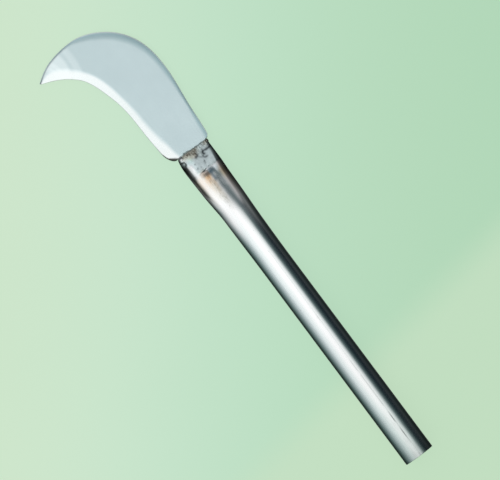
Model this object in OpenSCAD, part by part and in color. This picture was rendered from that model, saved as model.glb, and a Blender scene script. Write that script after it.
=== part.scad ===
// Hooked billhook blade with a pressed steel tube handle.
// The tool lies flat: +X runs along the handle from the open butt end to the
// blade, +Y points to the hollow, sharpened side of the hook, +Z is square to
// the blade flat.  The origin is the centre of the tube's open butt end.

/* [Handle tube] */
// outside diameter of the steel tube
tube_od = 25; // [23:0.5:28]
// wall thickness of the steel tube
tube_wall = 1.5; // [1.2:0.1:1.8]
// length from the butt end to the pressed mouth
handle_len = 300; // [260:5:500]
// outside corner break at the butt end
butt_break = 0.3; // [0.1:0.1:0.5]

/* [Pressed neck] */
// length of the part of the tube that is pressed out of round
neck_len = 60; // [50:1:75]
// length of the leaning flat left by the press tool behind the mouth
die_len = 19; // [15:1:24]
// height of the shoulder where the press tool stopped
die_step = 1.2; // [0.4:0.1:1.6]
// outside half height of the neck at the mouth
mouth_h = 3.5; // [3.2:0.1:4]

/* [Seam] */
// width of the scraped seam weld strip along the tube
seam_w = 1.2; // [0.6:0.1:2]
// depth to which the seam strip is modelled
seam_d = 0.5; // [0.3:0.1:0.8]
// angle of the seam away from straight up, towards the spine
seam_turn = 4; // [-30:1:30]

/* [Blade] */
// plate thickness
blade_t = 3; // [2.8:0.1:3.4]
// thickness left along the ground edge
edge_t = 0.3; // [0.2:0.05:0.5]
// widest part of the eased band on the outside of the curve
band_w = 4; // [1.5:0.1:4.5]
// thickness left at the point
tip_t = 0.5; // [0.3:0.05:0.8]

/* [Tang] */
// length of the tang inside the neck
tang_len = 36; // [24:1:44]
// thickness of the tang
tang_t = 2.8; // [2.5:0.05:2.85]
// tang width at the mouth
tang_w = 20.8; // [18:0.2:21.6]

/* [Welds] */
// height of the bead above the neck flat
bead_h = 1; // [0.6:0.1:1.4]
// spacing of the ripples along a bead
ripple = 2.3; // [1.6:0.1:3]
// height of the ripples
ripple_h = 0.16; // [0:0.02:0.3]

/* [Hidden] */

tube_r = tube_od / 2;
mouth = handle_len;
neck_start = mouth - neck_len;
step_x = mouth - die_len;
tube_sides = 96;
bead_color = [0.45, 0.42, 0.38];

// ---- curves -------------------------------------------------------------
function lerp(a, b, part) = a + (b - a) * part;
function unit(heading) = [cos(heading), sin(heading)];

// point on the smooth arc between two knots, each [x, y, heading]
function arc_point(a, b, part) =
  let (rest = 1 - part,
       start = [a[0], a[1]],
       end = [b[0], b[1]],
       reach = norm(end - start) / 3 / pow(cos((b[2] - a[2]) / 4), 2))
  pow(rest, 3) * start
    + 3 * pow(rest, 2) * part * (start + reach * unit(a[2]))
    + 3 * rest * part * part * (end - reach * unit(b[2]))
    + pow(part, 3) * end;
function along(knots, s) =
  let (i = min(floor(s), len(knots) - 2))
  arc_point(knots[i], knots[i + 1], s - i);

// smooth curve through a table of [position, value], flat at its first entry
function cell(table, x, i = 0) =
  (i >= len(table) - 2 || x < table[i + 1][0]) ? i : cell(table, x, i + 1);
function slope(a, b) = (b[1] - a[1]) / (b[0] - a[0]);
function grade(table, i) =
  i == 0 ? 0 : slope(table[i - 1], table[min(i + 1, len(table) - 1)]);
function smooth(table, x) =
  let (i = cell(table, x),
       a = table[i],
       b = table[i + 1],
       gap = b[0] - a[0],
       t = max(0, min(1, (x - a[0]) / gap)))
  (2 * t * t * t - 3 * t * t + 1) * a[1]
    + (t * t * t - 2 * t * t + t) * grade(table, i) * gap
    + (3 * t * t - 2 * t * t * t) * b[1]
    + (t * t * t - t * t) * grade(table, i + 1) * gap;

// ---- skins --------------------------------------------------------------
function joined(rings) = [for (ring = rings) for (p = ring) p];
// quads between neighbouring rings of n points, numbered from first
function side_faces(n, ring_count, first = 0) =
  [for (i = [0:ring_count - 2]) for (j = [0:n - 1])
    let (here = first + i * n, next = here + n, k = (j + 1) % n)
    [here + j, here + k, next + k, next + j]];

// closed solid through a list of rings that all have the same point count
module skin(rings) {
  n = len(rings[0]);
  ring_count = len(rings);
  polyhedron(
    points = joined(rings),
    faces = concat(
      side_faces(n, ring_count),
      [[for (j = [n - 1:-1:0]) j]],
      [[for (j = [0:n - 1]) (ring_count - 1) * n + j]]));
}

// open-ended pipe between an outer and an inner list of rings
module pipe(outer, inner) {
  n = len(outer[0]);
  ring_count = len(outer);
  total = n * ring_count;
  polyhedron(
    points = concat(joined(outer), joined(inner)),
    faces = concat(
      side_faces(n, ring_count),
      [for (f = side_faces(n, ring_count, total)) [f[0], f[3], f[2], f[1]]],
      [for (j = [0:n - 1]) let (k = (j + 1) % n) [k, j, total + j, total + k]],
      [for (j = [0:n - 1]) let (k = (j + 1) % n)
        [total - n + j, total - n + k, 2 * total - n + k, 2 * total - n + j]]));
}

// ---- blade --------------------------------------------------------------
// Knots run from the mouth to the point, measured from the mouth centre:
// [x, y, heading].  The three lists pair up knot by knot.
spine = [
  [0.6, -14.6, -80], [4, -17.9, -8], [30, -19.9, -5], [65, -22.9, 0], [95, -17.7, 24],
  [115, -1.6, 54], [125.3, 26.5, 90], [122.3, 48.5, 106], [113.4, 65, 125]];
edge = [
  [0.8, 13.3, 75], [5.5, 18.9, 28], [20, 21.6, 5], [45, 22.6, 2], [70, 26.2, 16],
  [92, 34.3, 29], [102.4, 44.2, 52], [108.2, 54, 64], [112.5, 64.5, 68]];
// inner limit of the ground bevel
bevel = [
  [0.7, 8.8, 25], [7, 11.2, 16], [21, 14.5, 11], [45, 17.4, 3], [70, 20.2, 10],
  [90, 26.5, 26], [107, 38.5, 38], [116, 50.5, 70], [113, 64.7, 110]];
rings_per_knot = 7;
last_knot = len(spine) - 1;

// eased band on the outside of the curve: [knot, width]
band = [
  [0, 0.5], [1, 0.6], [2, 0.7], [3, 0.9], [3.6, 0.55 * band_w], [4.2, 0.95 * band_w],
  [5, band_w], [5.5, 0.5 * band_w], [6, 0.8], [7, 0.5], [8, 0.25]];
// [knot, share of the body thickness left at the spine]
band_share = [
  [0, 0.8], [2, 0.8], [3, 0.75], [4.2, 0.45], [5, 0.4], [6, 0.7], [7, 0.7], [8, 0.7]];
// place and height of the band's middle line, as shares from the spine inwards
band_mid = 0.42;
band_mid_rise = 0.62;

// half thickness of the body, ground thinner over the last stretch to the point
function body_z(s) = lookup(s, [[6, blade_t / 2], [last_knot, tip_t / 2]]);
// half thickness of the edge, left thick where it turns round the heel
function edge_z(s) =
  min(body_z(s) * 0.8, lookup(s, [[0, 1], [1, 0.55], [2, edge_t / 2]]));

// section at knot position s: five points on top, mirrored below
function blade_ring(s) =
  let (back = along(spine, s),
       front = along(edge, s),
       across = (front - back) / norm(front - back) * lookup(s, band),
       full = body_z(s),
       thin = full * lookup(s, band_share),
       places = [back, back + across * band_mid, back + across, along(bevel, s), front],
       heights = [thin, lerp(thin, full, band_mid_rise), full, full, edge_z(s)])
  concat([for (i = [0:4]) [mouth + places[i][0], places[i][1], heights[i]]],
         [for (i = [4:-1:0]) [mouth + places[i][0], places[i][1], -heights[i]]]);

module blade_plate() {
  skin([for (i = [0:last_knot * rings_per_knot]) blade_ring(i / rings_per_knot)]);
}

tang_lap = 2;        // reach of the tang into the blade
tang_taper = 6;      // where the taper starts, back from the mouth
tang_corner = 2;     // corner cut at the inner end
tang_end = tang_w * 0.33;  // half width before the corner cut

module tang() {
  half_w = tang_w / 2;
  end_x = mouth - tang_len;
  translate([0, 0, -tang_t / 2])
    linear_extrude(tang_t)
      polygon([[mouth + tang_lap, -half_w], [mouth + tang_lap, half_w],
               [mouth - tang_taper, half_w],
               [end_x + tang_corner, tang_end], [end_x, tang_end - tang_corner],
               [end_x, tang_corner - tang_end], [end_x + tang_corner, -tang_end],
               [mouth - tang_taper, -half_w]]);
}

// the plate is dressed thinner where the beads sit, and carries the tang
dress_back = 1;             // start of the dressed strip, back from the mouth
dress_size = [4.2, 50, 2];

module blade_solid() {
  difference() {
    union() {
      blade_plate();
      tang();
    }
    for (side = [0, 1]) mirror([0, 0, side])
      translate([mouth - dress_back, -dress_size[1] / 2, tang_t / 2]) cube(dress_size);
  }
}

module blade() {
  color([0.74, 0.79, 0.80]) blade_solid();
}

// ---- handle tube --------------------------------------------------------
// neck tables: [x, size]; outside half widths to +Y and -Y
half_w_plus = [
  [neck_start, tube_r], [neck_start + 15, tube_r + 1.0], [neck_start + 30, tube_r + 1.8],
  [neck_start + 41, tube_r + 2], [mouth, tube_r + 1]];
half_w_minus = [
  [neck_start, tube_r], [neck_start + 15, tube_r + 0.8], [neck_start + 30, tube_r + 1.4],
  [neck_start + 41, tube_r + 1.6], [mouth, tube_r + 2.2]];
// outside half height before the flats are pressed
step_h = tube_r * 0.792;
round_h = [
  [neck_start, tube_r], [neck_start + 20, tube_r * 0.912], [neck_start + 30, tube_r * 0.848],
  [step_x, step_h], [mouth, tube_r * 0.52]];
// wall thickness, leaving a small gap over the tang at the mouth
tang_gap = 0.05;
wall = [
  [neck_start, tube_wall], [step_x, tube_wall + 0.25],
  [mouth, mouth_h - tang_t / 2 - tang_gap]];

// half height of the two pressed flats, which lean in towards the mouth
function press_h(x) =
  x < step_x ? 2 * tube_r : lerp(step_h - die_step, mouth_h, (x - step_x) / die_len);

// height of the neck's outer face above the mid plane at (x, y)
function top_z(x, y) =
  let (half_w = smooth(y > 0 ? half_w_plus : half_w_minus, x))
  min(press_h(x), smooth(round_h, x) * sqrt(max(0.02, 1 - y * y / half_w / half_w)));

// neck section set in from the outside by trim plus wall_share of the wall
function neck_ring(ring_x, trim, wall_share) =
  let (x = max(ring_x, neck_start),
       inset = wall_share * smooth(wall, x) + trim,
       round_z = smooth(round_h, x) - inset,
       flat_z = press_h(x) - inset,
       plus = smooth(half_w_plus, x) - inset,
       minus = smooth(half_w_minus, x) - inset,
       // angle at which the side curve meets the flat
       meet = x < step_x ? asin(1 - die_step / step_h) : asin(flat_z / round_z),
       angles = concat([for (k = [0:5]) meet * k / 5],
                       [for (k = [1:3]) lerp(meet, 89, k / 3)]),
       n = len(angles),
       quarter = [for (a = angles) [cos(a), min(flat_z, round_z * sin(a))]],
       upper = concat([for (q = quarter) [-minus * q[0], q[1]]],
                      [for (k = [n - 1:-1:0]) [plus * quarter[k][0], quarter[k][1]]]))
  concat([for (p = upper) [ring_x, p[0], p[1]]],
         [for (k = [2 * n - 2:-1:1]) [ring_x, upper[k][0], -upper[k][1]]]);

neck_lap = 4;      // reach of the neck back into the round tube
step_run = 0.5;    // length over which the shoulder drops
neck_x = concat([neck_start - neck_lap],
                [for (i = [0:8]) lerp(neck_start, step_x - step_run, i / 8)],
                [for (i = [0:5]) lerp(step_x, mouth, i / 5)]);
// where the neck starts it is held just inside the tube wall, so the two fuse cleanly
function hold(x) = x <= neck_start ? 0.06 : 0;
outer_rings = [for (x = neck_x) neck_ring(x, hold(x), 0)];
inner_rings = [for (x = neck_x) neck_ring(x, -hold(x), 1)];

module neck_solid() {
  skin(outer_rings);
}

seam_len = neck_start - 6;

module seam_strip() {
  intersection() {
    rotate([0, 90, 0]) difference() {
      cylinder(r = tube_r, h = seam_len + 1, $fn = tube_sides);
      translate([0, 0, -1])
        cylinder(r = tube_r - seam_d, h = seam_len + 8, $fn = tube_sides);
    }
    rotate([seam_turn, 0, 0]) translate([butt_break, -seam_w / 2, 0])
      cube([seam_len, seam_w, tube_r + 1]);
  }
}

module tube_solid() {
  bore_r = tube_r - tube_wall;
  union() {
    difference() {
      rotate([0, 90, 0]) rotate_extrude($fn = tube_sides)
        polygon([[bore_r, 0], [tube_r - butt_break, 0], [tube_r, butt_break],
                 [tube_r, neck_start], [bore_r, neck_start]]);
      seam_strip();
    }
    pipe(outer_rings, inner_rings);
  }
}

module handle_tube() {
  color([0.72, 0.75, 0.77]) tube_solid();
}

module tube_seam_weld() {
  color([0.55, 0.57, 0.6]) seam_strip();
}

// ---- welds --------------------------------------------------------------
bead_back = 3.4;     // least reach back over the neck
bead_front = 2.75;   // reach forward over the blade
bead_steps = 40;

// extra reach back from the mouth at height y: one lobe and a slow waver
function wash(y, phase) =
  4.6 * exp(-pow((y + 4.6) / 2.6, 2)) + 0.5 * cos(360 * y / 7.3 + phase);
function wave(y, phase) = 1 + ripple_h * cos(360 * y / ripple + phase);

// bead section at y; lobe scales the extra reach
function bead_ring(y, low, high, phase, lobe) =
  let (place = (2 * y - low - high) / (high - low),
       taper = sqrt(max(0.02, 1 - pow(abs(place), 6))),
       rise = bead_h * wave(y, phase) * taper,
       rear = -(bead_back + lobe * wash(y, phase)) * taper,
       fore = bead_front * (0.7 + 0.3 * taper),
       plate = tang_t / 2,
       neck = [for (k = [1, 0.72, 0.36, 0]) top_z(mouth + rear * k, y)],
       // [x from the mouth, z], from the rear over the top to the root
       outline = [
         [rear, neck[0] - 0.8], [rear, neck[0] - 0.02],
         [rear * 0.72, neck[1] + 0.4 * rise], [rear * 0.36, neck[2] + 0.8 * rise],
         [0.35, neck[3] + 0.75 * rise], [1.3, neck[3] - 0.9 + 0.7 * rise],
         [2.1, plate + 0.75 * rise], [fore, plate - 0.15],
         [fore - 0.4, plate - 0.6], [-0.4, plate - 0.6]])
  [for (p = outline) [mouth + p[0], y, p[1]]];

// bead from high to low in y, its sections closer together at the ends
module bead(low, high, phase, lobe) {
  skin([for (i = [0:bead_steps])
    let (t = i / bead_steps, part = lerp(t, 0.5 - 0.5 * cos(180 * t), 0.6))
    bead_ring(lerp(high, low, part), low, high, phase, lobe)]);
}

// rounded lump with a slightly uneven skin
function lump_scale(turn, lift) =
  1 + 0.05 * cos(3 * turn + 40) * cos(2 * lift) + 0.03 * sin(5 * turn + 2 * lift);

module lump(centre, half_size) {
  ring_steps = 10;
  sides = 16;
  skin([for (i = [0:ring_steps])
    let (lift = -88 + 176 * i / ring_steps)
    [for (j = [0:sides - 1])
      let (turn = -360 * j / sides, k = lump_scale(turn, lift))
      [centre[0] + half_size[0] * sin(lift) * k,
       centre[1] + half_size[1] * cos(lift) * cos(turn) * k,
       centre[2] + half_size[2] * cos(lift) * sin(turn) * k]]]);
}

module front_bead() {
  bead(low = -13.6, high = 9.8, phase = 0, lobe = 1);
}
module back_bead() {
  mirror([0, 0, 1]) bead(low = -13.4, high = 10.2, phase = 150, lobe = 0.35);
}

// a bead cut to fit the neck and blade
module fit_bead() {
  difference() {
    children();
    neck_solid();
    blade_solid();
  }
}
// a side lump cut to fit the neck, blade and both beads
module fit_lump() {
  difference() {
    children();
    neck_solid();
    blade_solid();
    front_bead();
    back_bead();
  }
}

module front_weld() {
  color(bead_color) fit_bead() front_bead();
}
module back_weld() {
  color(bead_color) fit_bead() back_bead();
}
module heel_side_weld() {
  color([0.6, 0.58, 0.55]) fit_lump() lump([mouth - 1.6, 12.2, 0], [4.1, 2.3, 4.3]);
}
module spine_side_weld() {
  color([0.5, 0.45, 0.4]) fit_lump() lump([mouth - 0.1, -14.6, 0], [2.8, 1.9, 4]);
}

blade();
handle_tube();
tube_seam_weld();
front_weld();
back_weld();
heel_side_weld();
spine_side_weld();
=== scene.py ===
# Hooked billhook with a tubular steel handle.
# The tube lies along X with its butt at x = 0 and its pressed mouth at x = MOUTH, centred on the
# X axis. The blade goes on from the mouth in the XY plane: spine towards -Y, cutting edge
# towards +Y, hooked point curling to +Y. The plate's thickness is along Z, the front face is +Z.
# Shapes are worked out in millimetres and turned into metres when a mesh is built.
import math
from collections import namedtuple

import bpy
import numpy as np
from mathutils import Matrix, Vector


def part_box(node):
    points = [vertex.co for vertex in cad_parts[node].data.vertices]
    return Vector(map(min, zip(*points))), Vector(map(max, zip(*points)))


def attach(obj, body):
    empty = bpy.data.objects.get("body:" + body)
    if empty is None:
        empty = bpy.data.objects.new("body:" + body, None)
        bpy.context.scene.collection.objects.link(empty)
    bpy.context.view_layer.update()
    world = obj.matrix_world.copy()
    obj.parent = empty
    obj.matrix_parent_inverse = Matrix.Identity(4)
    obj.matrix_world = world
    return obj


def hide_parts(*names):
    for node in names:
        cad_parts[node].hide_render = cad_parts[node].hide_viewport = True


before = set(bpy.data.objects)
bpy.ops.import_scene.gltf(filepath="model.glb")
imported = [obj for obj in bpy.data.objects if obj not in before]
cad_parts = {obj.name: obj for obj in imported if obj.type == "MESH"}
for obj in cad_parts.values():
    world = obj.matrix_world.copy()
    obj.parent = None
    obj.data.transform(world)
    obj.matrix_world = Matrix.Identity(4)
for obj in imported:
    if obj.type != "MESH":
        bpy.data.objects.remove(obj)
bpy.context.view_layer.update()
scene = bpy.context.scene
MM = 0.001

# ---------------------------------------------------------------- driving sizes, mm
tube_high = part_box("handle_tube")[1]
MOUTH = tube_high.x / MM                 # x of the pressed mouth
R = tube_high.z / MM                     # tube radius
HALF_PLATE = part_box("blade")[1].z / MM   # half the blade's thickness
NECK = 60.0                              # length of the narrowing neck
DIE = 19.0                               # length of the pressed flats at the mouth
NECK0 = MOUTH - NECK
STEP = MOUTH - DIE                       # x where the pressed flats begin
FLARE0 = NECK0 - 50                      # x where the tube starts to widen
WALL = 1.5
TANG = 2.8                               # tang thickness
DRAWN_MOUTH = 300                        # x of the mouth in the tables of surface marks

# ---------------------------------------------------------------- view, metres
VIEW_WIDTH = 0.39385
VIEW_CENTRE = (0.2158, 0.0055)
VIEW_RIGHT = (-0.5978, -0.8017, 0)
VIEW_UP = (0.8017, -0.5978, 0)


# ---------------------------------------------------------------- noise and soft steps
def lattice_hash(i, j, k, seed):
    n = (i * 374761393 + j * 668265263 + k * 2147483647 + seed * 1274126177) & 0xFFFFFFFF
    n = ((n ^ (n >> 13)) * 1274126177) & 0xFFFFFFFF
    n = (n ^ (n >> 16)) & 0xFFFFFFFF
    return n.astype(np.float64) / 0xFFFFFFFF * 2 - 1


def noise(x, y, z, seed=0):
    """smooth lattice noise, -1 to 1"""
    places = np.broadcast_arrays(*(np.asarray(v, float) for v in (x, y, z)))
    cells = [np.floor(v).astype(np.int64) for v in places]
    parts = [v - cell for v, cell in zip(places, cells)]
    wx, wy, wz = (f * f * f * (f * (f * 6 - 15) + 10) for f in parts)
    total = 0
    for a, share_a in ((0, 1 - wx), (1, wx)):
        for b, share_b in ((0, 1 - wy), (1, wy)):
            for c, share_c in ((0, 1 - wz), (1, wz)):
                corner = lattice_hash(cells[0] + a, cells[1] + b, cells[2] + c, seed)
                total = total + share_a * share_b * share_c * corner
    return total


def fbm(x, y, z, seed=0, octaves=3):
    """noise summed over octaves, each twice as fine and half as strong"""
    total, strength, weight = 0, 1.0, 0
    for o in range(octaves):
        fine = 2 ** o
        layer = noise(np.asarray(x) * fine, np.asarray(y) * fine, np.asarray(z) * fine,
                      seed + 17 * o)
        total = total + strength * layer
        weight += strength
        strength *= 0.5
    return total / weight


def rise(start, end, x):
    """0 before start, 1 past end, eased between"""
    t = np.clip((np.asarray(x, float) - start) / (end - start), 0, 1)
    return t * t * (3 - 2 * t)


def fall(start, end, x):
    return 1 - rise(start, end, x)


def lerp(a, b, share):
    return a + (b - a) * share


def lookup(table, x):
    """value at x, straight between the table's (x, value) rows"""
    places, values = zip(*table)
    return np.interp(x, places, values)


def hump(x, centre, half_width):
    return np.exp(-((x - centre) / half_width) ** 2)


def stroke(x, y, points, half_width):
    """soft line through the points, 1 on the line"""
    distance = np.full(np.shape(x), 1e9)
    for (x0, y0), (x1, y1) in zip(points[:-1], points[1:]):
        dx, dy = x1 - x0, y1 - y0
        t = np.clip(((x - x0) * dx + (y - y0) * dy) / (dx * dx + dy * dy + 1e-9), 0, 1)
        distance = np.minimum(distance, np.hypot(x - x0 - t * dx, y - y0 - t * dy))
    return np.exp(-(distance / half_width) ** 2)


def spots(x, y, table):
    """one soft spot per row (strength, x, y, half width x, half width y)"""
    return [strength * hump(x, cx, rx) * hump(y, cy, ry) for strength, cx, cy, rx, ry in table]


def strokes(x, y, table):
    """one soft line per row (strength, half width, points)"""
    return [strength * stroke(x, y, points, width) for strength, width, points in table]


def drawn_x(x):
    """x as the tables of surface marks count it"""
    return x + DRAWN_MOUTH - MOUTH


# ---------------------------------------------------------------- curves
def heading_vector(degrees):
    return np.array([math.cos(math.radians(degrees)), math.sin(math.radians(degrees))])


def curve_point(knots, s):
    """point at s on a curve through knots (x, y, heading in degrees), one knot per unit of s"""
    i = min(int(math.floor(s)), len(knots) - 2)
    a, b, t = knots[i], knots[i + 1], s - i
    p, q = np.array(a[:2], float), np.array(b[:2], float)
    reach = np.linalg.norm(q - p) / 3 / math.cos(math.radians((b[2] - a[2]) / 4)) ** 2
    p1 = p + reach * heading_vector(a[2])
    q1 = q - reach * heading_vector(b[2])
    return (1 - t) ** 3 * p + 3 * (1 - t) ** 2 * t * p1 + 3 * (1 - t) * t * t * q1 + t ** 3 * q


def smooth_lookup(table, x):
    """value at x on a smooth curve through the table's (x, value) rows"""
    last = len(table) - 1
    i = 0
    while i < last - 1 and x >= table[i + 1][0]:
        i += 1

    def slope(k):
        if k == 0:
            return 0.0
        after = min(k + 1, last)
        return (table[after][1] - table[k - 1][1]) / (table[after][0] - table[k - 1][0])

    (x0, v0), (x1, v1) = table[i], table[i + 1]
    h = x1 - x0
    t = max(0.0, min(1.0, (x - x0) / h))
    return ((2 * t ** 3 - 3 * t * t + 1) * v0 + (t ** 3 - 2 * t * t + t) * slope(i) * h
            + (3 * t * t - 2 * t ** 3) * v1 + (t ** 3 - t * t) * slope(i + 1) * h)


# ---------------------------------------------------------------- mesh helpers
def build(name, points, faces, sharp, colours=None, vectors=None, **masks):
    """mesh object from points in mm; sharp is the angle in degrees above which edges are hard"""
    mesh = bpy.data.meshes.new(name)
    mesh.from_pydata((np.asarray(points) * MM).tolist(), [], faces)
    mesh.validate(clean_customdata=False)
    mesh.update()

    def attribute(key, kind, field, values):
        layer = mesh.attributes.new(key, kind, "POINT")
        layer.data.foreach_set(field, np.asarray(values, np.float32).ravel())

    if colours is not None:
        rgba = np.ones((len(points), 4), np.float32)
        rgba[:, :3] = np.clip(colours, 0, 1)
        attribute("tint", "FLOAT_COLOR", "color", rgba)
    for key, values in masks.items():
        attribute(key, "FLOAT", "value", values)
    for key, values in (vectors or {}).items():
        attribute(key, "FLOAT_VECTOR", "vector", values)
    piece = bpy.data.objects.new(name, mesh)
    scene.collection.objects.link(piece)
    mesh.shade_smooth()
    mesh.set_sharp_from_angle(angle=math.radians(sharp))
    return piece


def ring_faces(rings, n, closed=False, flip=False):
    """quads between rings of n points; closed joins last ring to first, else both are capped"""
    faces = []
    for i in range(rings if closed else rings - 1):
        here, there = i * n, (i + 1) % rings * n
        for j in range(n):
            j2 = (j + 1) % n
            faces.append((here + j2, there + j2, there + j, here + j))
    if not closed:
        faces.append(tuple(range(n)))
        faces.append(tuple((rings - 1) * n + j for j in reversed(range(n))))
    return [tuple(reversed(face)) for face in faces] if flip else faces


# ---------------------------------------------------------------- blade
# Blade tables run over s, from 0 at the heel to 8 at the point.
# Knots: x beyond the mouth, y, heading in degrees.
SPINE = [(0.6, -14.6, -80), (4, -17.9, -8), (30, -19.9, -5), (65, -22.9, 0), (95, -17.7, 24),
         (115, -1.6, 54), (125.3, 26.5, 90), (122.3, 48.5, 106), (113.4, 65, 125)]
EDGE = [(0.4, 14.6, 76), (5.3, 19.4, 26), (20, 21.6, 5), (45, 22.6, 2), (70, 26.2, 16),
        (92, 34.3, 29), (102.4, 44.2, 52), (108.2, 54, 64), (112.5, 64.5, 68)]
BEVEL = [(0.7, 8.8, 25), (7, 11.2, 16), (21, 14.5, 11), (45, 17.4, 3), (70, 20.2, 10),
         (90, 26.5, 26), (107, 38.5, 38), (116, 50.5, 70), (113, 64.7, 110)]
# (s, width of the eased band along the spine)
BAND = [(0, 1.2), (0.6, 3.6), (1.3, 4.2), (2, 2.6), (2.5, 3.6), (3, 5.4), (3.6, 6.0), (4.5, 7.2),
        (5.2, 7.2), (5.6, 5.8), (6, 2.8), (6.5, 1.8), (7, 1.4), (7.6, 1.2), (8, 0.4)]
# (s, thickness at the spine as a share of the flat's)
BAND_SHARE = [(0, 0.7), (1, 0.62), (2, 0.68), (3, 0.56), (4.2, 0.42), (5, 0.38), (6, 0.5),
              (7, 0.55), (8, 0.6)]
# (s, how far inside the ground line the bevel starts to ease over)
EASE = [(0, 0.5), (1, 0.8), (1.5, 1.9), (2, 2.1), (3, 2.1), (3.5, 1.5), (4, 1.3), (4.5, 1.7),
        (5, 2.5), (5.6, 2.7), (6, 1.9), (7, 0.4), (8, 0.1)]
# (s, width of that easing)
FADE = [(0, 4.0), (1, 3.4), (2, 4.6), (3, 4.2), (3.5, 3.0), (4, 3.0), (5, 3.2), (6, 4.4),
        (7, 4.0), (8, 1.0)]
# (s, brightness laid on in facets that cross the plate at a slant)
TONE = [(5.92, 0), (6.02, 0.26), (6.16, 0.36), (6.24, 0.20), (6.32, 0.08), (6.38, 0.28),
        (6.48, 0.55), (6.74, 0.57), (6.82, 0.76), (6.93, 0.78), (7.0, 0.62), (7.08, 0.76),
        (7.2, 0.62), (7.32, 0.44), (7.42, 0.38), (7.52, 0.56), (7.62, 0.42), (7.8, 0.50), (8, 0.4)]
# (s, half thickness): full to s = 5.78, then dressed thinner in shallow facets
FLAT_HALF = [(0, HALF_PLATE), (5.78, HALF_PLATE), (5.9, HALF_PLATE - 0.05),
             (6.08, HALF_PLATE - 0.20), (6.3, HALF_PLATE - 0.24), (6.5, HALF_PLATE - 0.42),
             (6.8, HALF_PLATE - 0.56), (7.1, HALF_PLATE - 0.80), (7.5, HALF_PLATE - 1.0),
             (8, 0.25)]
EDGE_HALF = [(0, 1.0), (1, 0.6), (2, 0.15)]           # (s, half thickness of the edge)
# (s, width of the painted shade along the thick, rounded heel edge)
HEEL_SHADE = [(0, 4.8), (0.5, 4.2), (0.8, 2.6), (1.0, 1.4), (1.35, 0.6), (1.6, 0)]
# (x from the mouth, half width, half thickness)
TANG_RINGS = [(-36, 4.86, 1.2), (-35.6, 5.2, TANG / 2), (-34, 6.86, TANG / 2),
              (-20, 8.6, TANG / 2), (-6, 10.4, TANG / 2), (-0.2, 10.4, TANG / 2),
              (0.3, 10.4, TANG / 2)]
# shares of the way across each strip of the section
BAND_STEPS = (0.12, 0.25, 0.38, 0.5, 0.62, 0.75, 0.88, 1.0)
FLAT_STEPS = 18
BEVEL_STEPS = (0, 0.04, 0.09, 0.14, 0.2, 0.27, 0.34, 0.42, 0.5, 0.6, 0.7, 0.8, 0.88, 0.94)


def blade_section(s):
    """rows (x, y, z, bevel, band, rim) over the front face, spine mid line to edge mid line"""
    spine, edge, ground = (curve_point(knots, s) for knots in (SPINE, EDGE, BEVEL))
    inward = (edge - spine) / np.linalg.norm(edge - spine)
    flat_z = lookup(FLAT_HALF, s)
    spine_z = flat_z * lookup(BAND_SHARE, s)
    edge_z = min(flat_z * 0.8, lookup(EDGE_HALF, s))
    band_width = lookup(BAND, s)
    corner = min(0.16, spine_z * 0.5)
    rows = []

    def add(point, z, bevel=0.0, band=0.0, rim=0.0):
        rows.append((*point, z, bevel, band, rim))

    # spine wall and its small rounded corner
    for z in (0.0, (spine_z - corner) * 0.5, spine_z - corner):
        add(spine, z, band=1, rim=1)
    for degrees in (22.5, 45, 67.5, 90):
        a = math.radians(degrees)
        add(spine + inward * corner * (1 - math.cos(a)), spine_z - corner + corner * math.sin(a),
            bevel=0.9 * degrees / 90, band=1, rim=1 - degrees / 120)
    # eased band, convex, running out tangent to the flat
    for f in BAND_STEPS:
        add(spine + inward * lerp(corner, band_width, f),
            lerp(spine_z, flat_z, 1 - (1 - f) ** 1.9),
            bevel=0.2 if f < 0.2 else 0, band=1 - f, rim=0.15 * (1 - f))
    # flat, up to where the bevel starts to ease over
    band_end = spine + inward * band_width
    pull = min(lookup(EASE, s), 0.4 * np.linalg.norm(ground - band_end))
    ground = ground + (ground - edge) / np.linalg.norm(edge - ground) * pull
    for i in range(1, FLAT_STEPS):
        add(lerp(band_end, ground, i / FLAT_STEPS), flat_z)
    # ground bevel, its top line a little soft, then straight to the edge
    width = np.linalg.norm(edge - ground)
    fade = lookup(FADE, s)
    soft = min(0.35, 0.4 * fade / max(width, 0.5))
    edge_round = min(0.9 * edge_z, 0.9) if s < 2 else 0.14
    stop = 1 - min(0.45, edge_round / max(width, 0.3))

    def bevel_z(g):
        drop = (math.sqrt(g * g + soft * soft) - soft) / (math.sqrt(1 + soft * soft) - soft)
        return lerp(flat_z, edge_z, drop)

    for f in BEVEL_STEPS:
        g = f * stop
        add(lerp(ground, edge, g), bevel_z(g), bevel=rise(0.0, fade, g * width))
    # rounded cutting edge
    for degrees in (0, 20, 40, 60, 78, 90):
        a = math.radians(degrees)
        add(lerp(ground, edge, stop + (1 - stop) * math.sin(a)), bevel_z(stop) * math.cos(a),
            bevel=1, rim=0.35 + 0.4 * degrees / 90)
    return np.array(rows)


def whole_ring(half):
    """front half of a ring, then the same rows mirrored to the back"""
    back = half[-2:0:-1].copy()
    back[:, 2] *= -1
    return np.concatenate([half, back])


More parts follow.
